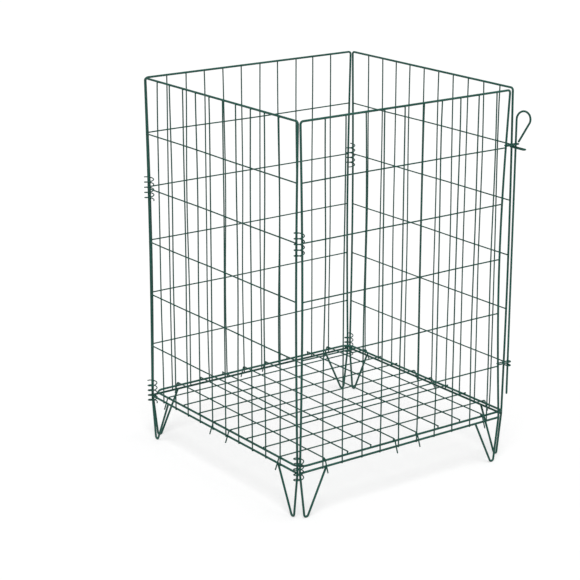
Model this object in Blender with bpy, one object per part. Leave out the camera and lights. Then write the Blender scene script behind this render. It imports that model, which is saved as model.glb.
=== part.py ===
"""Folding wire compost bin, in metres, +Z up.

Four welded wire panels stand on bent wire feet. Wire spirals hinge them at
three corners and a long pin locks the fourth. A loose wire floor hooks over
the four bottom rails. The front panel faces -Y and the pin corner is at
+X -Y.
"""
import math

import bmesh
import bpy
from mathutils import Matrix, Vector

# Driving sizes: the first two are the ones printed beside the bin.
PANEL_WIDTH = 0.460        # across a hinged panel's two posts, at their ends
HEIGHT = 0.680             # ground to the top of the top rail
HEAVY_WIRE = 0.0038        # frames, rails, feet and the floor's frame
LIGHT_WIRE = 0.0024        # infill wires, floor wires and pin eyes
SPIRAL_WIRE = 0.0020
PIN_WIRE = 0.0036
GAP = 0.0003               # left between two pieces that touch
WELD = 0.0002              # how deep two crossing light wires are fused

# Panels.
RAIL_HEIGHT = 0.083        # ground to the bottom rail's centre line
LEVELS = 5                 # horizontal wires between the two rails
UPRIGHTS = 10              # vertical wires between the two posts
UPRIGHT_SIDE = 0.04775     # panel's edge to its first vertical wire
HINGE_INSET = 0.0030       # corner line to a post's end, at a hinged corner
POST_BOW = 0.0042          # how far a hinged post bows away from its corner
FRONT_PIN_INSET = 0.0175   # the front panel's post at the pin's corner
FRONT_PIN_BOW = 0.0110
RIGHT_PIN_INSET = 0.0120   # the right panel's post there, which bows outwards
RIGHT_PIN_BOW = -0.0035
TOP_BEND = 0.0048          # centre-line radius of the frame's top corners
FOOT_BEND = 0.0045         # centre-line radius of a foot's tip
FOOT_TIP = 0.0165          # corner line to a foot's tip
FOOT_REACH = 0.0580        # corner line to where a foot meets the rail

# Spirals.
SPIRAL_RADIUS = 0.0083
SPIRAL_PITCH = 0.0095
SPIRAL_POINTS = 12         # points on one curl
LEVEL_CURLS = (2.5, 2.0)   # curls below and above a light wire
RAIL_CURLS = (1.5, 3.0)    # curls below and above a bottom rail
SPIRAL_LEVEL = 4           # the horizontal wire, from below, with a spiral

# Pin and its eyes.
PIN_BOTTOM = 0.124         # ground to the pin's lower end
HANDLE_WIDTH = 0.0235      # centre line to centre line
HANDLE_CROWN = 0.0145      # height of the handle's rounded top
HANDLE_DROP = 0.0400       # from the crown down to the closing end
EYE_PAST_PIN = 0.0056      # pin's axis to an eye's tip
LONG_EYE_PAST_PIN = 0.0235
EYE_PAST_POST = 0.0005     # how far an eye's ends pass the post's centre
EYE_STEP = 0.0030          # each eye's height off the wire level

# Floor.
FLOOR_WIRES = 8            # each way
FLOOR_SIDE = 0.055         # panel's edge to the first floor wire
HOOKED_WIRES = (0, 3, 4, 7)
FLOOR_FRAME_INSET = 0.0046  # panel plane to the floor frame's centre line
FLOOR_FRAME_RISE = 0.0086   # rail's centre line to the floor frame's
FLOOR_FRAME_CORNER = 0.0175  # large enough to pass inside the spirals
FLOOR_PIN_CORNER = 0.0055  # where there is no spiral
HOOK_SLOPE = 70            # degrees off level, where a hook leans on the rail
HOOK_DROP = 0.0102         # how far a hook reaches below the rail's centre
HOOK_BEND = 0.0045

# Worked out from the sizes above.
HEAVY = HEAVY_WIRE / 2
LIGHT = LIGHT_WIRE / 2
PIN = PIN_WIRE / 2
LIGHT_FLAT = LIGHT * math.cos(math.pi / 6)      # to a flat of six sides
HEAVY_FLAT = HEAVY * math.cos(math.pi / 8)      # to a flat of eight sides
PLANE = PANEL_WIDTH / 2 - HEAVY + HINGE_INSET   # centre to a panel's plane
TOP_RAIL = HEIGHT - HEAVY_FLAT
LEVEL_PITCH = (TOP_RAIL - RAIL_HEIGHT) / (LEVELS + 1)
ON_HEAVY = HEAVY + LIGHT + GAP                  # light wire laid on a heavy
CROSSING = 2 * LIGHT_FLAT - WELD                # between crossed light wires
INFILL_OFFSET = -ON_HEAVY                       # vertical wires, outside
LEVEL_OFFSET = INFILL_OFFSET + CROSSING         # horizontal wires, inside them
UPRIGHT_PITCH = (PANEL_WIDTH - 2 * UPRIGHT_SIDE) / (UPRIGHTS - 1)
FLOOR_PITCH = (PANEL_WIDTH - 2 * FLOOR_SIDE) / (FLOOR_WIRES - 1)
HINGED = (HINGE_INSET, POST_BOW)                # the three kinds of post
FRONT_PIN = (FRONT_PIN_INSET, FRONT_PIN_BOW)
RIGHT_PIN = (RIGHT_PIN_INSET, RIGHT_PIN_BOW)

GREEN = (0.040, 0.090, 0.072, 1.0)
GREEN_LIGHT = (0.055, 0.110, 0.090, 1.0)


def level_height(level):
    """Height of a horizontal wire, counted from the bottom rail as 0."""
    return RAIL_HEIGHT + level * LEVEL_PITCH


def post_inset(post, height):
    """Distance from the corner line to a post, which bows in mid-height."""
    inset, bow = post
    share = (height - RAIL_HEIGHT) / (TOP_RAIL - TOP_BEND - RAIL_HEIGHT)
    share = min(max(share, 0.0), 1.0)
    return inset + bow * math.sin(math.pi * share)


def make_material(name, colour, roughness):
    material = bpy.data.materials.new(name)
    material.use_nodes = True
    shader = material.node_tree.nodes["Principled BSDF"]
    shader.inputs["Base Color"].default_value = colour
    shader.inputs["Roughness"].default_value = roughness
    shader.inputs["Metallic"].default_value = 0.0
    return material


def add_to(parent, obj, material):
    """Link an object, give it its material and hang it on its parent."""
    if obj.name not in bpy.context.scene.collection.objects:
        bpy.context.scene.collection.objects.link(obj)
    obj.data.materials.clear()
    obj.data.materials.append(material)
    obj.parent = parent
    return obj


def make_empty(name, location, turn, parent):
    empty = bpy.data.objects.new(name, None)
    bpy.context.scene.collection.objects.link(empty)
    empty.location = location
    empty.rotation_euler = (0, 0, turn)
    empty.parent = parent
    return empty


def arc(centre, radius, start, end, steps):
    """Points of an arc, in degrees, as (along, up) pairs."""
    return [(centre[0] + radius * math.cos(math.radians(start + (end - start) * i / steps)),
             centre[1] + radius * math.sin(math.radians(start + (end - start) * i / steps)))
            for i in range(steps + 1)]


def rounded(corners, radius, steps):
    """Swap each inner corner of a path of Vectors for a small arc."""
    path = [corners[0]]
    for before, corner, after in zip(corners, corners[1:], corners[2:]):
        to_before = (before - corner).normalized()
        to_after = (after - corner).normalized()
        half = to_before.angle(to_after) / 2
        setback = radius / math.tan(half)
        start = corner + to_before * setback
        end = corner + to_after * setback
        centre = corner + (to_before + to_after).normalized() * radius / math.sin(half)
        a, b = start - centre, end - centre
        turn = a.angle(b)
        for i in range(steps + 1):
            share = i / steps
            path.append(centre + (a * math.sin((1 - share) * turn)
                                  + b * math.sin(share * turn)) / math.sin(turn))
    path.append(corners[-1])
    return path


def make_wire(name, paths, diameter, resolution, tilt=0.0, closed=False):
    """Round wire along each path, as one mesh object with capped ends."""
    curve = bpy.data.curves.new(name, "CURVE")
    curve.dimensions = "3D"
    curve.bevel_depth = diameter / 2
    curve.bevel_resolution = resolution
    curve.use_fill_caps = True
    curve.twist_mode = "MINIMUM"
    for path in paths:
        spline = curve.splines.new("POLY")
        spline.points.add(len(path) - 1)
        for point, place in zip(spline.points, path):
            point.co = (*place, 1.0)
            point.tilt = tilt
        spline.use_cyclic_u = closed
    holder = bpy.data.objects.new(name + "_curve", curve)
    bpy.context.scene.collection.objects.link(holder)
    bpy.context.view_layer.update()
    mesh = bpy.data.meshes.new_from_object(
        holder.evaluated_get(bpy.context.evaluated_depsgraph_get()))
    mesh.name = name
    bpy.data.objects.remove(holder)
    bpy.data.curves.remove(curve)
    bm = bmesh.new()
    bm.from_mesh(mesh)
    bmesh.ops.remove_doubles(bm, verts=bm.verts, dist=1e-6)
    bmesh.ops.recalc_face_normals(bm, faces=bm.faces)
    bm.to_mesh(mesh)
    bm.free()
    return bpy.data.objects.new(name, mesh)


def fuse(first, second):
    """Union of two objects, left in the first."""
    for obj in (first, second):
        if obj.name not in bpy.context.scene.collection.objects:
            bpy.context.scene.collection.objects.link(obj)
    union = first.modifiers.new("fused", "BOOLEAN")
    union.operation = "UNION"
    union.solver = "EXACT"
    union.object = second
    bpy.context.view_layer.update()
    mesh = bpy.data.meshes.new_from_object(
        first.evaluated_get(bpy.context.evaluated_depsgraph_get()))
    first.modifiers.remove(union)
    first.data = mesh
    mesh.name = first.name
    bpy.data.objects.remove(second)
    return first


def foot_points(inset):
    """One foot, from its end under the rail to the post, for a post at the
    left: distances are measured from the corner line."""
    lowest = math.cos(math.radians(13)) * FOOT_BEND
    centre = (FOOT_TIP, HEAVY_FLAT + lowest)
    out_angle, in_angle = 187, 334
    angles = [in_angle] + [309 - 26 * i for i in range(5)] + [out_angle]
    tip = [(centre[0] + FOOT_BEND * math.cos(math.radians(a)),
            centre[1] + FOOT_BEND * math.sin(math.radians(a))) for a in angles]
    lean = math.atan2(RAIL_HEIGHT - tip[0][1], FOOT_REACH - tip[0][0])
    end_height = RAIL_HEIGHT - HEAVY - GAP - HEAVY * math.cos(lean)
    reach = tip[0][0] + (end_height - tip[0][1]) / math.tan(lean)
    shift = inset - HINGE_INSET
    return [(along + shift, up) for along, up in [(reach, end_height)] + tip]


def side_points(post):
    """One side of a panel's frame, from the foot up to the top rail."""
    steps = 12
    inset = post[0]
    top = TOP_RAIL - TOP_BEND
    points = foot_points(inset)
    for i in range(steps + 1):
        height = RAIL_HEIGHT + (top - RAIL_HEIGHT) * i / steps
        points.append((post_inset(post, height), height))
    bend = arc((inset + TOP_BEND, top), TOP_BEND, 180, 90, 4)
    return points + bend[1:]


def make_frame_wire(name, left_post, right_post):
    """Feet, posts and top rail of one panel, bent from a single wire. The
    wire's section is turned so that each foot rests on a flat side."""
    left = [Vector((-PLANE + along, 0, up)) for along, up in side_points(left_post)]
    right = [Vector((PLANE - along, 0, up)) for along, up in side_points(right_post)]
    return make_wire(name, [left + right[::-1]], HEAVY_WIRE, 2, math.pi / 8)


def make_bottom_rail(name, left_post, right_post):
    # The legs lean a little towards the rail's ends, so it stops short of them.
    stop = HEAVY + GAP + 0.0001
    ends = (-PLANE + left_post[0] + stop, PLANE - right_post[0] - stop)
    path = [Vector((x, 0, RAIL_HEIGHT)) for x in ends]
    return make_wire(name, [path], HEAVY_WIRE, 2)


def make_mesh_infill(name, left_post, right_post):
    """Ten vertical wires welded to five horizontal ones, as one grille.
    The vertical wires lie on the rails' outer side, and both sets have a
    flat of their section where they cross."""
    verticals = []
    for i in range(UPRIGHTS):
        x = (i - (UPRIGHTS - 1) / 2) * UPRIGHT_PITCH
        verticals.append([Vector((x, INFILL_OFFSET, RAIL_HEIGHT - LIGHT)),
                          Vector((x, INFILL_OFFSET, TOP_RAIL + LIGHT / 2))])
    levels = []
    for level in range(1, LEVELS + 1):
        z = level_height(level)
        levels.append([
            Vector((-PLANE + post_inset(left_post, z) + HEAVY + GAP, LEVEL_OFFSET, z)),
            Vector((PLANE - post_inset(right_post, z) - HEAVY - GAP, LEVEL_OFFSET, z))])
    return fuse(make_wire(name, verticals, LIGHT_WIRE, 1),
                make_wire(name + "_levels", levels, LIGHT_WIRE, 1, math.pi / 6))


def make_eye(name, side, level, step, past_pin):
    """A hairpin of light wire that straddles the post and rings the pin.
    side is +1 where the pin is at the panel's right, -1 at its left."""
    z = level_height(level) + step
    post = PLANE - post_inset(FRONT_PIN if side > 0 else RIGHT_PIN, level_height(level))
    half = HEAVY + LIGHT + GAP
    inner = post - EYE_PAST_POST
    centre = PLANE + past_pin - half
    nose = arc((centre, 0), half, -90, 90, 8)
    path = [(inner, -half)] + nose + [(inner, half)]
    return make_wire(name, [[Vector((side * x, y, z)) for x, y in path]],
                     LIGHT_WIRE, 1)


def make_spiral(name, corner_inset, height, curls, outward, start_turn):
    """A helix round the two posts of a hinged corner. It passes midway
    between two curls wherever a horizontal wire goes through it."""
    below, above = curls
    steps = round((below + above) * SPIRAL_POINTS)
    across = corner_inset / 2
    centre = Vector((outward[0] * (PLANE - across), outward[1] * (PLANE - across), height))
    points = []
    for i in range(steps + 1):
        turn = i / SPIRAL_POINTS
        angle = start_turn + 2 * math.pi * turn
        points.append(centre + Vector((SPIRAL_RADIUS * math.cos(angle),
                                       SPIRAL_RADIUS * math.sin(angle),
                                       (turn - below) * SPIRAL_PITCH)))
    for end, beside in ((0, 1), (-1, -2)):
        way = (points[end] - points[beside]).normalized() * SPIRAL_WIRE
        points.insert(0 if end == 0 else len(points), points[end] + way)
    report_least_gap(name, points)
    return make_wire(name, [points], SPIRAL_WIRE, 1)


def report_least_gap(name, points):
    """Print a spiral's least gap to itself, measured on its points."""
    far = SPIRAL_POINTS // 2
    least = min((a - b).length for i, a in enumerate(points) for b in points[i + far:])
    print(f"{name}: least gap to itself {1000 * (least - SPIRAL_WIRE):.2f} mm")


def make_pin(name):
    """A straight rod with its top bent over into a teardrop handle, which
    points outwards across the corner. Its closing end rests on the eyes."""
    rest = level_height(LEVELS) + EYE_STEP + LIGHT + GAP + PIN
    crown_foot = rest + HANDLE_DROP
    half = HANDLE_WIDTH / 2
    crown = [(half - half * math.cos(math.radians(a)),
              crown_foot + HANDLE_CROWN * math.sin(math.radians(a)))
             for a in range(0, 201, 20)]
    beside_rod = PIN_WIRE + GAP + 0.0004
    path = [(0, PIN_BOTTOM)] + crown + [(beside_rod, rest)]
    out = Vector((1, -1, 0)).normalized()
    return make_wire(name, [[out * along + Vector((0, 0, up)) for along, up in path]],
                     PIN_WIRE, 2)


def make_floor_frame(name):
    half = PLANE - FLOOR_FRAME_INSET
    height = RAIL_HEIGHT + FLOOR_FRAME_RISE
    ring = []
    for i, (sx, sy) in enumerate(((1, 1), (-1, 1), (-1, -1), (1, -1))):
        radius = FLOOR_PIN_CORNER if (sx, sy) == (1, -1) else FLOOR_FRAME_CORNER
        inner = half - radius
        bend = arc((sx * inner, sy * inner), radius, 90 * i, 90 * i + 90, 6)
        ring += [Vector((x, y, height)) for x, y in bend]
    return make_wire(name, [ring], HEAVY_WIRE, 2, closed=True)


def hook_end(height):
    """A floor wire's end, bent down over the bottom rail so that it leans on
    the rail's outer side: (out, up) points, out from the bin's middle."""
    slope = math.radians(HOOK_SLOPE)
    lean = (PLANE + ON_HEAVY * math.sin(slope), RAIL_HEIGHT + ON_HEAVY * math.cos(slope))
    return [(lean[0] - (up - lean[1]) / math.tan(slope), up)
            for up in (height, RAIL_HEIGHT - HOOK_DROP)]


def make_floor_grid(name):
    """Eight wires each way, laid on the floor frame and welded to it. The
    first, the last and the middle two of each way end in hooks."""
    lower = RAIL_HEIGHT + FLOOR_FRAME_RISE + ON_HEAVY
    plain_end = PLANE - FLOOR_FRAME_INSET + HEAVY
    layers = []
    for height in (lower, lower + CROSSING):
        wires = []
        for i in range(FLOOR_WIRES):
            across = (i - (FLOOR_WIRES - 1) / 2) * FLOOR_PITCH
            if i in HOOKED_WIRES:
                hook = hook_end(height)
                run = [(-out, up) for out, up in hook[::-1]] + hook
                path = rounded([Vector((out, across, up)) for out, up in run],
                               HOOK_BEND, 4)
            else:
                path = [Vector((end, across, height)) for end in (-plain_end, plain_end)]
            wires.append(path)
        layers.append(wires)
    turned = [[Vector((-p.y, p.x, p.z)) for p in path] for path in layers[1]]
    return fuse(make_wire(name, layers[0], LIGHT_WIRE, 1),
                make_wire(name + "_cross", turned, LIGHT_WIRE, 1))


def whole_box(objects):
    corners = [obj.matrix_world @ v.co for obj in objects for v in obj.data.vertices]
    low = Vector(min(c[i] for c in corners) for i in range(3))
    high = Vector(max(c[i] for c in corners) for i in range(3))
    return low, high


for old in list(bpy.data.objects):
    bpy.data.objects.remove(old)

coating = make_material("green_coating", GREEN, 0.45)
coating_light = make_material("green_coating_light_wire", GREEN_LIGHT, 0.5)

bin_root = make_empty("bin", (0, 0, 0), 0, None)

# The four panels: name, turn about the middle, and posts left and right.
PANELS = (
    ("front", 0, HINGED, FRONT_PIN),
    ("right", 90, RIGHT_PIN, HINGED),
    ("back", 180, HINGED, HINGED),
    ("left", 270, HINGED, HINGED),
)
for side, turn, left_post, right_post in PANELS:
    angle = math.radians(turn)
    place = Matrix.Rotation(angle, 3, "Z") @ Vector((0, -PLANE, 0))
    panel = make_empty(side + "_panel", place, angle, bin_root)
    add_to(panel, make_frame_wire(side + "_panel_frame_wire", left_post, right_post),
           coating)
    add_to(panel, make_bottom_rail(side + "_panel_bottom_rail", left_post, right_post),
           coating)
    add_to(panel, make_mesh_infill(side + "_panel_mesh", left_post, right_post),
           coating_light)
    if side in ("front", "right"):
        hand = 1 if side == "front" else -1
        for place_name, level in (("upper", LEVELS), ("lower", 1)):
            long_one = side == "right" and place_name == "upper"
            reach = LONG_EYE_PAST_PIN if long_one else EYE_PAST_PIN
            add_to(panel, make_eye(f"{side}_panel_{place_name}_eye", hand, level,
                                   hand * EYE_STEP, reach), coating_light)

# A spiral pair at each hinged corner: name and the corner's signs.
CORNERS = (("front_left", (-1, -1)), ("back_left", (-1, 1)), ("back_right", (1, 1)))
for corner, signs in CORNERS:
    inward = math.atan2(-signs[1], -signs[0])
    for place_name, level, curls in (("upper", SPIRAL_LEVEL, LEVEL_CURLS),
                                     ("lower", 0, RAIL_CURLS)):
        height = level_height(level)
        # Half a curl sits between the inward side and the wires' level.
        start = inward - 2 * math.pi * (curls[0] - 0.5)
        add_to(bin_root, make_spiral(f"{corner}_{place_name}_spiral",
                                     post_inset(HINGED, height), height, curls,
                                     signs, start), coating_light)

floor = make_empty("floor", (0, 0, 0), 0, bin_root)
add_to(floor, make_floor_frame("floor_frame"), coating)
add_to(floor, make_floor_grid("floor_grid"), coating_light)

pin_axis = make_empty("pin_axis", (PLANE, -PLANE, 0), 0, bin_root)
add_to(pin_axis, make_pin("lock_pin"), coating)

# The origin is the middle of the whole box, on the ground.
bpy.context.view_layer.update()
pieces = [obj for obj in bpy.data.objects if obj.type == "MESH"]
low, high = whole_box(pieces)
bin_root.location = (-(low.x + high.x) / 2, -(low.y + high.y) / 2, -low.z)
bpy.context.view_layer.update()
print("box", [round(v, 5) for v in high - low], "moved", [round(v, 5) for v in bin_root.location])
print("pin axis", [round(v, 5) for v in pin_axis.matrix_world.translation])
print("panels' middle", [round(v, 5) for v in bin_root.location], "plane", round(PLANE, 5))
print("triangles", sum(len(p.vertices) - 2 for obj in pieces for p in obj.data.polygons))
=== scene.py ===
import math
import random

import bmesh
import bpy
from mathutils import Matrix, Vector


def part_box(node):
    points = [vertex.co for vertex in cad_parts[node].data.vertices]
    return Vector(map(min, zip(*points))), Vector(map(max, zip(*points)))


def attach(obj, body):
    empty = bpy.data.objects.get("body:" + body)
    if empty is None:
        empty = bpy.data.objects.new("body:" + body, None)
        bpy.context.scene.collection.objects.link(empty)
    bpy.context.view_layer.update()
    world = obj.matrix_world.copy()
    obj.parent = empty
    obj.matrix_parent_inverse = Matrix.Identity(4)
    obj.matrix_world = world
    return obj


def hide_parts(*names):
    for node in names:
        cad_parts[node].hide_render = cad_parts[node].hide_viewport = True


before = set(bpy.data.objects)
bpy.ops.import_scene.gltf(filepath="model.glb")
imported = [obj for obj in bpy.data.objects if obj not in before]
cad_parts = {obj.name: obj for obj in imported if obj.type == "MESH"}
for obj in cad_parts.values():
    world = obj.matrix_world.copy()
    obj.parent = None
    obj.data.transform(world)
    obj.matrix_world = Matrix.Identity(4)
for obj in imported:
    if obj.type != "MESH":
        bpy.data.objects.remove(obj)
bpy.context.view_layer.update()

# The four panel frames. Each is one length of heavy steel wire, bent into a
# V foot, a post, the top rail, the other post and the other foot, and dipped
# in green plastic. The posts bow a little along their panels at mid-height.
front_low, front_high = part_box("front_panel_frame_wire")
back_low, back_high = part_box("back_panel_frame_wire")
left_low, left_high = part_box("left_panel_frame_wire")
right_low, right_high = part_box("right_panel_frame_wire")
rail_low, rail_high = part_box("front_panel_bottom_rail")
left_x = (left_low.x + left_high.x) / 2
right_x = (right_low.x + right_high.x) / 2
front_y = (front_low.y + front_high.y) / 2
back_y = (back_low.y + back_high.y) / 2
middle = Vector(((left_x + right_x) / 2, (front_y + back_y) / 2, 0))
plane = (right_x - left_x) / 2       # from the bin's middle to a panel
heavy = 0.0038 / 2                   # the radius, as for every other wire's name
hinged = (0.0030, 0.0042)            # a post's inset from its corner, and its bow
front_pin = (0.0175, 0.0110)         # the front panel's post at the pin's corner
right_pin = (0.0120, -0.0035)        # the right panel's post there
top_bend = 0.0048
foot_bend = 0.0045
foot_tip = 0.0165
foot_reach = 0.0580
foot_first, foot_last = 334, 187     # degrees round a foot's tip
bend_steps = 10
post_steps = 24
rail_height = (rail_low.z + rail_high.z) / 2
top_rail = front_high.z - heavy
dark_green = (0.010, 0.084, 0.061)
worn_green = (0.021, 0.112, 0.085)

# side: its turn about the middle, and its posts at left and right
panels = {
    "front": (0, hinged, front_pin),
    "right": (90, right_pin, hinged),
    "back": (180, hinged, hinged),
    "left": (270, hinged, hinged),
}


def panel_place(side):
    """From a panel's own axes, which are along, inwards and up, to the bin's."""
    turn = Matrix.Rotation(math.radians(panels[side][0]), 4, "Z")
    return Matrix.Translation(middle) @ turn @ Matrix.Translation((0, -plane, 0))


def draw_wire(bm, path, radius, sides=12, closed=False):
    """Pull a round section along a path. An open end gets the soft dome that
    the dip leaves on a cut end."""
    path = [Vector(p) for p in path]
    count = len(path)
    stops = []
    across = None
    for i, point in enumerate(path):
        before = path[i - 1] if i or closed else point
        after = path[(i + 1) % count] if i < count - 1 or closed else point
        way = (after - before).normalized()
        across = across or way.orthogonal()
        across = (across - way * across.dot(way)).normalized()
        turn = Matrix((across, way.cross(across), way)).transposed().to_4x4()
        stops.append(Matrix.Translation(point) @ turn)
    if not closed:
        # shares of the radius: how far in from the end, and how wide there
        dome = ((0.0, 0.42), (0.14, 0.72), (0.45, 0.93), (1.0, 1.0))
        first = [stops[0] @ Matrix.Translation((0, 0, radius * along))
                 @ Matrix.Diagonal((size, size, 1, 1)) for along, size in dome]
        last = [stops[-1] @ Matrix.Translation((0, 0, -radius * along))
                @ Matrix.Diagonal((size, size, 1, 1)) for along, size in dome]
        stops = first + stops[1:-1] + last[::-1]
    ring = bmesh.ops.create_circle(bm, segments=sides, radius=radius, matrix=stops[0])["verts"]
    edges = list({edge for vert in ring for edge in vert.link_edges})
    first_edges = edges
    for here, there in zip(stops, stops[1:]):
        grown = bmesh.ops.extrude_edge_only(bm, edges=edges)["geom"]
        edges = [g for g in grown if isinstance(g, bmesh.types.BMEdge)]
        ring = [g for g in grown if isinstance(g, bmesh.types.BMVert)]
        bmesh.ops.transform(bm, matrix=there @ here.inverted(), verts=ring)
    if closed:
        bmesh.ops.bridge_loops(bm, edges=first_edges + edges)
    else:
        bmesh.ops.contextual_create(bm, geom=first_edges)
        bmesh.ops.contextual_create(bm, geom=edges)


def dipped_green(name, colour, worn, gloss):
    """Plastic dip coating: satin, uneven in colour, a little dusty, with the
    fine ripple of a skin that has flowed and set."""
    coat = bpy.data.materials.new(name)
    coat.use_nodes = True
    nodes, links = coat.node_tree.nodes, coat.node_tree.links
    skin = nodes["Principled BSDF"]
    skin.inputs["Specular IOR Level"].default_value = 0.25
    place = nodes.new("ShaderNodeTexCoord")

    clouds = nodes.new("ShaderNodeTexNoise")
    clouds.inputs["Scale"].default_value = 16
    clouds.inputs["Detail"].default_value = 4
    links.new(place.outputs["Object"], clouds.inputs["Vector"])
    tint = nodes.new("ShaderNodeValToRGB")
    tint.color_ramp.elements[0].position = 0.36
    tint.color_ramp.elements[0].color = (*colour, 1)
    tint.color_ramp.elements[1].position = 0.68
    tint.color_ramp.elements[1].color = (*worn, 1)
    links.new(clouds.outputs["Fac"], tint.inputs["Fac"])

    specks = nodes.new("ShaderNodeTexNoise")
    specks.inputs["Scale"].default_value = 420
    specks.inputs["Detail"].default_value = 6
    specks.inputs["Roughness"].default_value = 0.7
    links.new(place.outputs["Object"], specks.inputs["Vector"])
    dusty = nodes.new("ShaderNodeMapRange")
    dusty.inputs["From Min"].default_value = 0.56
    dusty.inputs["From Max"].default_value = 0.78
    dusty.inputs["To Max"].default_value = 0.35
    links.new(specks.outputs["Fac"], dusty.inputs["Value"])
    dusted = nodes.new("ShaderNodeMix")
    dusted.data_type = "RGBA"
    dusted.inputs["B"].default_value = (0.065, 0.155, 0.125, 1)
    links.new(dusty.outputs["Result"], dusted.inputs["Factor"])
    links.new(tint.outputs["Color"], dusted.inputs["A"])
    links.new(dusted.outputs["Result"], skin.inputs["Base Color"])

    sheen = nodes.new("ShaderNodeMapRange")
    sheen.inputs["To Min"].default_value = gloss
    sheen.inputs["To Max"].default_value = gloss + 0.24
    links.new(clouds.outputs["Fac"], sheen.inputs["Value"])
    links.new(sheen.outputs["Result"], skin.inputs["Roughness"])

    ripple = nodes.new("ShaderNodeTexNoise")
    ripple.inputs["Scale"].default_value = 800
    ripple.inputs["Detail"].default_value = 2
    links.new(place.outputs["Object"], ripple.inputs["Vector"])
    rippled = nodes.new("ShaderNodeBump")
    rippled.inputs["Strength"].default_value = 0.4
    rippled.inputs["Distance"].default_value = 0.0002
    links.new(ripple.outputs["Fac"], rippled.inputs["Height"])
    links.new(rippled.outputs["Normal"], skin.inputs["Normal"])
    return coat


def hang(bm, name, nodes, body, coat):
    """Make the wire mesh an object, coat it and hang it on its body. Only the
    flat ends of the wires, which have many corners, are not shaded smooth."""
    bmesh.ops.recalc_face_normals(bm, faces=bm.faces)
    for face in bm.faces:
        face.smooth = len(face.verts) < 5
    mesh = bpy.data.meshes.new(name)
    bm.to_mesh(mesh)
    bm.free()
    piece = bpy.data.objects.new(name, mesh)
    bpy.context.scene.collection.objects.link(piece)
    mesh.materials.append(coat)
    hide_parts(*nodes)
    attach(piece, body)


heavy_coat = dipped_green("heavy_wire_coating", dark_green, worn_green, 0.34)


def post_inset(post, height):
    """A post's distance from its corner line at a height."""
    share = (height - rail_height) / (top_rail - top_bend - rail_height)
    return post[0] + post[1] * math.sin(math.pi * min(max(share, 0), 1))


def foot_end(inset):
    """Where a foot's inner leg meets the underside of the rail, as (along, up)."""
    shift = inset - hinged[0]
    start = (foot_tip + shift + foot_bend * math.cos(math.radians(foot_first)),
             heavy + foot_bend + foot_bend * math.sin(math.radians(foot_first)))
    lean = math.atan2(rail_height - start[1], foot_reach + shift - start[0])
    up = rail_height - heavy * math.cos(lean)
    return (start[0] + (up - start[1]) / math.tan(lean), up)


def half_frame(post):
    """Half a frame's centre line as (along, up): the foot from its end under
    the rail, round the tip, then up the post and round the top corner."""
    inset = post[0]
    shift = inset - hinged[0]
    turns = [math.radians(foot_first + (foot_last - foot_first) * i / bend_steps)
             for i in range(bend_steps + 1)]
    tip = [(foot_tip + shift + foot_bend * math.cos(turn),
            heavy + foot_bend + foot_bend * math.sin(turn)) for turn in turns]
    top = top_rail - top_bend
    heights = [rail_height + (top - rail_height) * i / post_steps
               for i in range(post_steps + 1)]
    upright = [(post_inset(post, height), height) for height in heights]
    turns = [math.radians(90 * i / bend_steps) for i in range(1, bend_steps + 1)]
    corner = [(inset + top_bend - top_bend * math.cos(turn),
               top + top_bend * math.sin(turn)) for turn in turns]
    return [foot_end(inset)] + tip + upright + corner


for side, (_, left_post, right_post) in panels.items():
    bm = bmesh.new()
    left = [(-plane + along, 0, up) for along, up in half_frame(left_post)]
    right = [(plane - along, 0, up) for along, up in half_frame(right_post)]
    draw_wire(bm, left + right[::-1], heavy, sides=16)
    bmesh.ops.transform(bm, matrix=panel_place(side), verts=bm.verts)
    hang(bm, side + "_frame", [side + "_panel_frame_wire"], "panels",
         heavy_coat)

# The bottom rails. Each is a straight length of the same heavy wire, butt
# welded between the posts, with the feet's inner legs welded under it. Small
# round weld beads show through the coating.
bead = 0.00235
butt_bead = (0.7, 1, 1)              # a bead's stretch along, across and up
foot_bead = (1.15, 0.88, 0.72)
rail_end = heavy * 0.6               # inside the post's skin


def weld_bead(bm, place, size, stretch):
    """A small rounded lump of weld, drowned in the coating."""
    bmesh.ops.create_icosphere(bm, subdivisions=2, radius=size,
                               matrix=Matrix.Translation(place) @ Matrix.Diagonal((*stretch, 1)))


for side, (_, left_post, right_post) in panels.items():
    bm = bmesh.new()
    ends = (-plane + left_post[0] + rail_end, plane - right_post[0] - rail_end)
    draw_wire(bm, [(x, 0, rail_height) for x in ends], heavy, sides=16)
    for end, post, way in ((-plane, left_post, 1), (plane, right_post, -1)):
        weld_bead(bm, (end + way * (post[0] + heavy), 0, rail_height), bead, butt_bead)
        along, up = foot_end(post[0])
        weld_bead(bm, (end + way * along, 0, up), bead, foot_bead)
    bmesh.ops.transform(bm, matrix=panel_place(side), verts=bm.verts)
    hang(bm, side + "_rail", [side + "_panel_bottom_rail"], "panels",
         heavy_coat)

# The panels' mesh: ten light wires stand against the outer side of the rails
# and five lie across inside them, spot welded at each crossing. The welding
# rack leaves them a little out of true, and each crossing is a coated lump.
light = 0.0024 / 2
levels = 5
uprights = 10
upright_pitch = 0.0405
weld_gap = 0.0003                    # between heavy wire and what is welded to it
pressed = 0.0002                     # how far crossed light wires sink together
infill = heavy + light + weld_gap    # from a heavy wire's middle to a light one's
crossing = 2 * light * math.cos(math.pi / 6) - pressed
level_pitch = (top_rail - rail_height) / (levels + 1)
level_end = 0.0011                   # a cross wire's end, from the post's middle
upright_bend, upright_slip = 0.0024, 0.0014    # aside in the length, and at the ends
level_bend = 0.0009
upright_steps = 18
level_steps = 20
rail_weld = (1.5, 0.9, 1.1)
cross_weld = (1.3, 1.1, 1.3)
post_weld = (1.2, 1.15, 1.15)
light_coat = dipped_green("light_wire_coating", (0.008, 0.074, 0.054),
                          (0.022, 0.102, 0.078), 0.38)
rack = random.Random(46)


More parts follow.
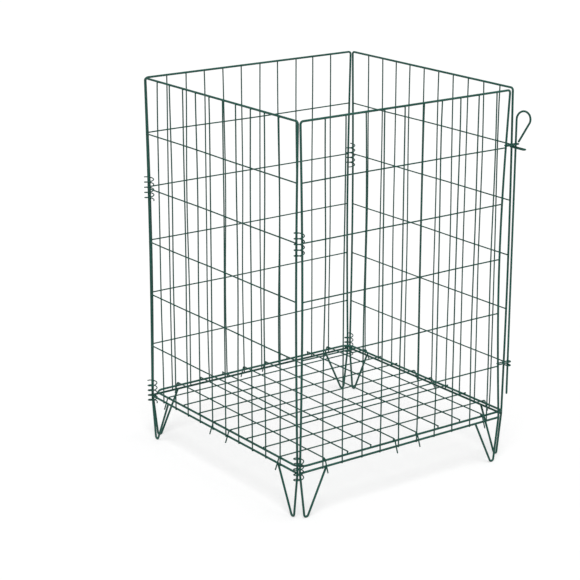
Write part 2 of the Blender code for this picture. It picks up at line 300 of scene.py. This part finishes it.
def out_of_true(points, reach, across, ends=0.0):
    """Bend a straight wire smoothly aside, by up to one and a half times the
    reach, and shift each of its ends by up to a limit of its own."""
    full_turn = 6.28
    slow_wave, quick_wave = 3.1, 9       # radians over the wire's length
    first, second = rack.uniform(0, full_turn), rack.uniform(0, full_turn)
    low, high = rack.uniform(0.3, 1) * reach, rack.uniform(0.1, 0.5) * reach
    start, stop = rack.uniform(-ends, ends), rack.uniform(-ends, ends)
    bent = []
    for i, point in enumerate(points):
        share = i / (len(points) - 1)
        hold = math.sin(math.pi * share) ** 0.5 if 0 < share < 1 else 0
        slow = math.sin(slow_wave * share + first)
        quick = math.sin(quick_wave * share + second)
        shift = (low * slow + high * quick) * hold
        shift += start * (1 - share) + stop * share
        bent.append(Vector(point) + Vector(across) * shift)
    return bent


for side, (_, left_post, right_post) in panels.items():
    bm = bmesh.new()
    stood = []
    for i in range(uprights):
        x = (i - (uprights - 1) / 2) * upright_pitch
        foot, tall = rail_height - light, top_rail - rail_height + 1.5 * light
        points = [(x, -infill, foot + tall * j / upright_steps)
                  for j in range(upright_steps + 1)]
        upright = out_of_true(points, upright_bend, (1, 0, 0), upright_slip)
        stood.append(upright)
        draw_wire(bm, upright, light, sides=10)
        for end, height in ((upright[0], rail_height), (upright[-1], top_rail - light / 2)):
            weld_bead(bm, (end.x, light - infill, height), light, rail_weld)
    for level in range(1, levels + 1):
        z = rail_height + level * level_pitch
        ends = (-plane + post_inset(left_post, z) + level_end,
                plane - post_inset(right_post, z) - level_end)
        points = [(ends[0] + (ends[1] - ends[0]) * j / level_steps, crossing - infill, z)
                  for j in range(level_steps + 1)]
        laid = out_of_true(points, level_bend, (0, 0, 1))
        draw_wire(bm, laid, light, sides=10)
        for upright in stood:
            met = min(upright, key=lambda p: abs(p.z - z))
            cross = min(laid, key=lambda p: abs(p.x - met.x))
            weld_bead(bm, (met.x, crossing / 2 - infill, cross.z), light, cross_weld)
        for end in ends:
            weld_bead(bm, (end, crossing - infill, z), light, post_weld)
    bmesh.ops.transform(bm, matrix=panel_place(side), verts=bm.verts)
    hang(bm, side + "_mesh", [side + "_panel_mesh"], "panels",
         light_coat)

# The pin's eyes: hairpins of light wire that straddle a post of the front
# and right panels, welded to it on both sides, and ring the pin beyond it.
# The right panel's upper one is longer than the others.
eye_past_post = 0.0005               # how far the legs end past the post's middle
eye_step = 0.0030                    # from the cross wire: front eyes up, right eyes down
eye_half = heavy + light + weld_gap
eye_weld = (0.95, 0.75, 1.0)
eye_weld_seat = 0.72                 # share of the way out from the post's middle
nose_steps = 20
nose_short, nose_long = 0.0056, 0.0235    # past the pin's middle line
eyes = {"front_panel_upper_eye": (levels, nose_short),
        "front_panel_lower_eye": (1, nose_short),
        "right_panel_upper_eye": (levels, nose_long),
        "right_panel_lower_eye": (1, nose_short)}
for name, (level, past_pin) in eyes.items():
    side = name.split("_")[0]
    hand, kind = (1, front_pin) if side == "front" else (-1, right_pin)
    z = rail_height + level * level_pitch
    post = plane - post_inset(kind, z)
    z += hand * eye_step
    centre = plane + past_pin - eye_half
    turns = [math.radians(180 * i / nose_steps) for i in range(nose_steps + 1)]
    nose = [(centre + eye_half * math.sin(turn), -eye_half * math.cos(turn)) for turn in turns]
    path = [(post - eye_past_post, -eye_half)] + nose + [(post - eye_past_post, eye_half)]
    bm = bmesh.new()
    draw_wire(bm, [(hand * x, y, z) for x, y in path], light, sides=12)
    for y in (-eye_half, eye_half):
        weld_bead(bm, (hand * post, y * eye_weld_seat, z), light, eye_weld)
    bmesh.ops.transform(bm, matrix=panel_place(side), verts=bm.verts)
    hang(bm, name.replace("panel_", ""), [name], "panels",
         light_coat)

# The hinge spirals: springs of light steel wire, wound ready and screwed down
# over the two posts of a corner, where they are clipped off plain. The upper
# ones sit at the fourth cross wire and the lower ones round the bottom rails.
spiral = 0.0020 / 2
spiral_radius = 0.0083
spiral_pitch = 0.0095
turn_steps = 32
corners = {"front_left": (-1, -1), "back_left": (-1, 1), "back_right": (1, 1)}
# height: its cross wire, counted from the rail, and its turns below and above
spirals = {"upper": (4, 2.5, 2.0), "lower": (0, 1.5, 3.0)}
for corner, signs in corners.items():
    inward = math.atan2(-signs[1], -signs[0])
    for height_name, (level, below, above) in spirals.items():
        z = rail_height + level * level_pitch
        off = plane - post_inset(hinged, z) / 2
        centre = middle + Vector((signs[0] * off, signs[1] * off, z))
        start = inward - 2 * math.pi * (below - 0.5)
        past = spiral * 2 / math.hypot(2 * math.pi * spiral_radius, spiral_pitch)
        count = round((below + above) * turn_steps)
        turns = [-past + (below + above + 2 * past) * i / count for i in range(count + 1)]
        path = [centre + Vector((spiral_radius * math.cos(start + 2 * math.pi * turn),
                                 spiral_radius * math.sin(start + 2 * math.pi * turn),
                                 (turn - below) * spiral_pitch)) for turn in turns]
        bm = bmesh.new()
        draw_wire(bm, path, spiral, sides=10)
        hang(bm, f"{corner}_{height_name}_hinge", [f"{corner}_{height_name}_spiral"], "panels",
             light_coat)

# The floor's frame: a square of heavy wire with rounded corners, bent round
# and butt welded. It hangs by its mesh's hooks, just above the bottom rails.
floor_inset = 0.0046
floor_rise = 0.0086
floor_corner = 0.0175
floor_pin_corner = 0.0055            # at the corner with no spiral
corner_steps = 12
butt = 0.012                         # the weld's place along the back
butt_size = bead * 0.95
floor_half = plane - floor_inset
floor_height = rail_height + floor_rise
ring = []
for i, (sx, sy) in enumerate(((1, 1), (-1, 1), (-1, -1), (1, -1))):
    radius = floor_pin_corner if (sx, sy) == (1, -1) else floor_corner
    for j in range(corner_steps + 1):
        angle = math.radians(90 * i + 90 / corner_steps * j)
        ring.append(middle + Vector((sx * (floor_half - radius) + radius * math.cos(angle),
                                     sy * (floor_half - radius) + radius * math.sin(angle),
                                     floor_height)))
bm = bmesh.new()
draw_wire(bm, ring, heavy, sides=16, closed=True)
weld_bead(bm, middle + Vector((butt, floor_half, floor_height)),
          butt_size, (1.1, 0.9, 0.9))
hang(bm, "floor_ring", ["floor_frame"], "floor", heavy_coat)

# The floor's mesh: eight light wires each way, laid on the ring and welded to
# it and to each other. The first, last and middle two are bent down over the
# bottom rails as hooks, and the rest are clipped off at the ring.
floor_wires = 8
floor_pitch = 0.050
floor_bend = 0.0008
hooked = (0, 3, 4, 7)
hook_slope = math.radians(70)
hook_drop = 0.0102
hook_bend = 0.0045
hook_steps = 8
half_steps = 9                       # of a clipped wire, from its middle to an end
ring_welds = ((1.1, 1.1, 0.7), (1.1, 1.1, 1.5))    # lower wires, upper wires
grid_weld = (1.3, 1.3, 1.1)
lower_layer = floor_height + infill
floor_places = [(i - (floor_wires - 1) / 2) * floor_pitch for i in range(floor_wires)]


def rounded(corners, radius, steps):
    """Swap each inner corner of a path for a small bend."""
    path = [corners[0]]
    for before, corner, after in zip(corners, corners[1:], corners[2:]):
        to_before = (before - corner).normalized()
        to_after = (after - corner).normalized()
        half = to_before.angle(to_after) / 2
        centre = corner + (to_before + to_after).normalized() * radius / math.sin(half)
        first = corner + to_before * radius / math.tan(half) - centre
        last = corner + to_after * radius / math.tan(half) - centre
        turn = first.angle(last)
        path += [centre + (first * math.sin((1 - i / steps) * turn)
                           + last * math.sin(i / steps * turn)) / math.sin(turn)
                 for i in range(steps + 1)]
    path.append(corners[-1])
    return path


def hook(height):
    """A hook's two corners as (out, up): bent down off the level so that it
    leans on the rail's outer side."""
    lean = (plane + infill * math.sin(hook_slope), rail_height + infill * math.cos(hook_slope))
    return [(lean[0] - (up - lean[1]) / math.tan(hook_slope), up)
            for up in (height, rail_height - hook_drop)]


bm = bmesh.new()
quarter = Matrix.Rotation(math.pi / 2, 4, "Z")
for layer, height in enumerate((lower_layer, lower_layer + crossing)):
    place = Matrix.Translation(middle) @ (quarter if layer else Matrix.Identity(4))
    for i, across in enumerate(floor_places):
        if i in hooked:
            ends = hook(height)
            run = [Vector((-out, across, up)) for out, up in ends[::-1]]
            run += [Vector((out, across, up)) for out, up in ends]
            path = rounded(run, hook_bend, hook_steps)
        else:
            reach = plane - floor_inset + heavy
            points = [(reach * (j / half_steps - 1), across, height)
                      for j in range(2 * half_steps + 1)]
            path = out_of_true(points, floor_bend, (0, 1, 0))
        draw_wire(bm, [place @ p for p in path], light, sides=10)
        for end in (-1, 1):
            weld = height - light - layer * crossing * 0.5
            weld_bead(bm, place @ Vector((end * (plane - floor_inset), across, weld)),
                      light, ring_welds[layer])
for x in floor_places:
    for y in floor_places:
        weld_bead(bm, middle + Vector((x, y, lower_layer + crossing / 2)), light, grid_weld)
hang(bm, "floor_mesh", ["floor_grid"], "floor", light_coat)

# The locking pin: one coated wire dropped through the eyes. Its top is bent
# over into a tear-shaped handle, whose end closes on the rod and rests on the
# highest eye.
pin = 0.0036 / 2
pin_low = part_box("lock_pin")[0]
pin_axis = middle + Vector((plane, -plane, 0))
handle_width = 0.0235
handle_crown = 0.0145
handle_drop = 0.0400
handle_close = 0.0007                # air between the handle's end and the rod
crown_angles = range(0, 201, 8)      # degrees over the handle's crown
rod_steps = 8
rest = rail_height + levels * level_pitch + eye_step + light + weld_gap + pin
crown_foot = rest + handle_drop
half = handle_width / 2
outward = Vector((1, -1, 0)).normalized()
turns = [math.radians(angle) for angle in crown_angles]
crown = [(half - half * math.cos(turn), crown_foot + handle_crown * math.sin(turn))
         for turn in turns]
line = [(0, pin_low.z + (crown_foot - pin_low.z) * i / rod_steps) for i in range(rod_steps)]
line += crown + [(2 * pin + handle_close, rest)]
bm = bmesh.new()
draw_wire(bm, [pin_axis + outward * along + Vector((0, 0, up)) for along, up in line],
          pin, sides=16)
hang(bm, "locking_pin", ["lock_pin"], "pin", heavy_coat)

# The floor: a wide sheet of pale matt paper. It glows just enough towards the
# camera to look white, and it still takes the bin's soft shadow.
paper_half = 12
paper_grey = 0.53
paper_glow = 0.505
bm = bmesh.new()
bmesh.ops.create_grid(bm, x_segments=1, y_segments=1, size=paper_half)
mesh = bpy.data.meshes.new("paper")
bm.to_mesh(mesh)
bm.free()
paper = bpy.data.objects.new("paper", mesh)
bpy.context.scene.collection.objects.link(paper)
white = bpy.data.materials.new("white_paper")
white.use_nodes = True
nodes, links = white.node_tree.nodes, white.node_tree.links
nodes.remove(nodes["Principled BSDF"])
matt = nodes.new("ShaderNodeBsdfDiffuse")
matt.inputs["Color"].default_value = (paper_grey, paper_grey, paper_grey, 1)
glow = nodes.new("ShaderNodeEmission")
glow.inputs["Color"].default_value = (1, 1, 1, 1)
ray = nodes.new("ShaderNodeLightPath")
seen = nodes.new("ShaderNodeMath")
seen.operation = "ADD"
seen.use_clamp = True
links.new(ray.outputs["Is Camera Ray"], seen.inputs[0])
links.new(ray.outputs["Is Glossy Ray"], seen.inputs[1])
strength = nodes.new("ShaderNodeMath")
strength.operation = "MULTIPLY"
strength.inputs[1].default_value = paper_glow
links.new(seen.outputs[0], strength.inputs[0])
links.new(strength.outputs[0], glow.inputs["Strength"])
both = nodes.new("ShaderNodeAddShader")
links.new(matt.outputs[0], both.inputs[0])
links.new(glow.outputs[0], both.inputs[1])
links.new(both.outputs[0], nodes["Material Output"].inputs["Surface"])
mesh.materials.append(white)

# The studio: a white room that lights the bin softly all round, and two wide
# lamps high up. The stronger one is a little to the left.
world = bpy.data.worlds.new("studio")
bpy.context.scene.world = world
world.use_nodes = True
nodes, links = world.node_tree.nodes, world.node_tree.links
sky = nodes["Background"]
sky.inputs["Color"].default_value = (1, 1, 1, 1)
ray = nodes.new("ShaderNodeLightPath")
brightness = nodes.new("ShaderNodeMapRange")
brightness.inputs["To Min"].default_value = 0.45
brightness.inputs["To Max"].default_value = 1.0
links.new(ray.outputs["Is Camera Ray"], brightness.inputs["Value"])
links.new(brightness.outputs["Result"], sky.inputs["Strength"])

# name, place it shines from, width in degrees, strength
for name, place, spread, power in (("soft_light_left", (-0.9, -1.1, 2.8), 26, 1.55),
                                   ("soft_light_right", (1.0, -0.7, 2.6), 44, 0.40)):
    lamp = bpy.data.lights.new(name, "SUN")
    lamp.angle = math.radians(spread)
    lamp.energy = power
    holder = bpy.data.objects.new(name, lamp)
    bpy.context.scene.collection.objects.link(holder)
    holder.location = place
    holder.rotation_euler = (-Vector(place)).to_track_quat("-Z", "Y").to_euler()

# The camera stands where the photograph was taken: ahead of the front left
# corner, above the top rails. It is turned a little off the bin's middle.
picture = 580                        # pixels each way
lens_pixels = 1826.7
seen_at = (326.7, 270.0)             # the pixel where it sees the point looked at
azimuth, elevation, distance = math.radians(-37.09), math.radians(16.56), 3.2657
look_at = middle + Vector((0, 0, 0.340))
back = Vector((math.sin(azimuth) * math.cos(elevation),
               -math.cos(azimuth) * math.cos(elevation),
               math.sin(elevation)))
camera = bpy.data.objects.new("camera", bpy.data.cameras.new("camera"))
bpy.context.scene.collection.objects.link(camera)
camera.data.lens = camera.data.sensor_width * lens_pixels / picture
camera.data.clip_end = 100
camera.location = look_at + back * distance
straight = (-back).to_track_quat("-Z", "Y")
off_centre = Vector((seen_at[0] - picture / 2, picture / 2 - seen_at[1], 0))
aim = look_at - straight @ off_centre * distance / lens_pixels
camera.rotation_mode = "QUATERNION"
camera.rotation_quaternion = (aim - camera.location).to_track_quat("-Z", "Y")
bpy.context.scene.camera = camera
bpy.context.scene.view_settings.view_transform = "Standard"
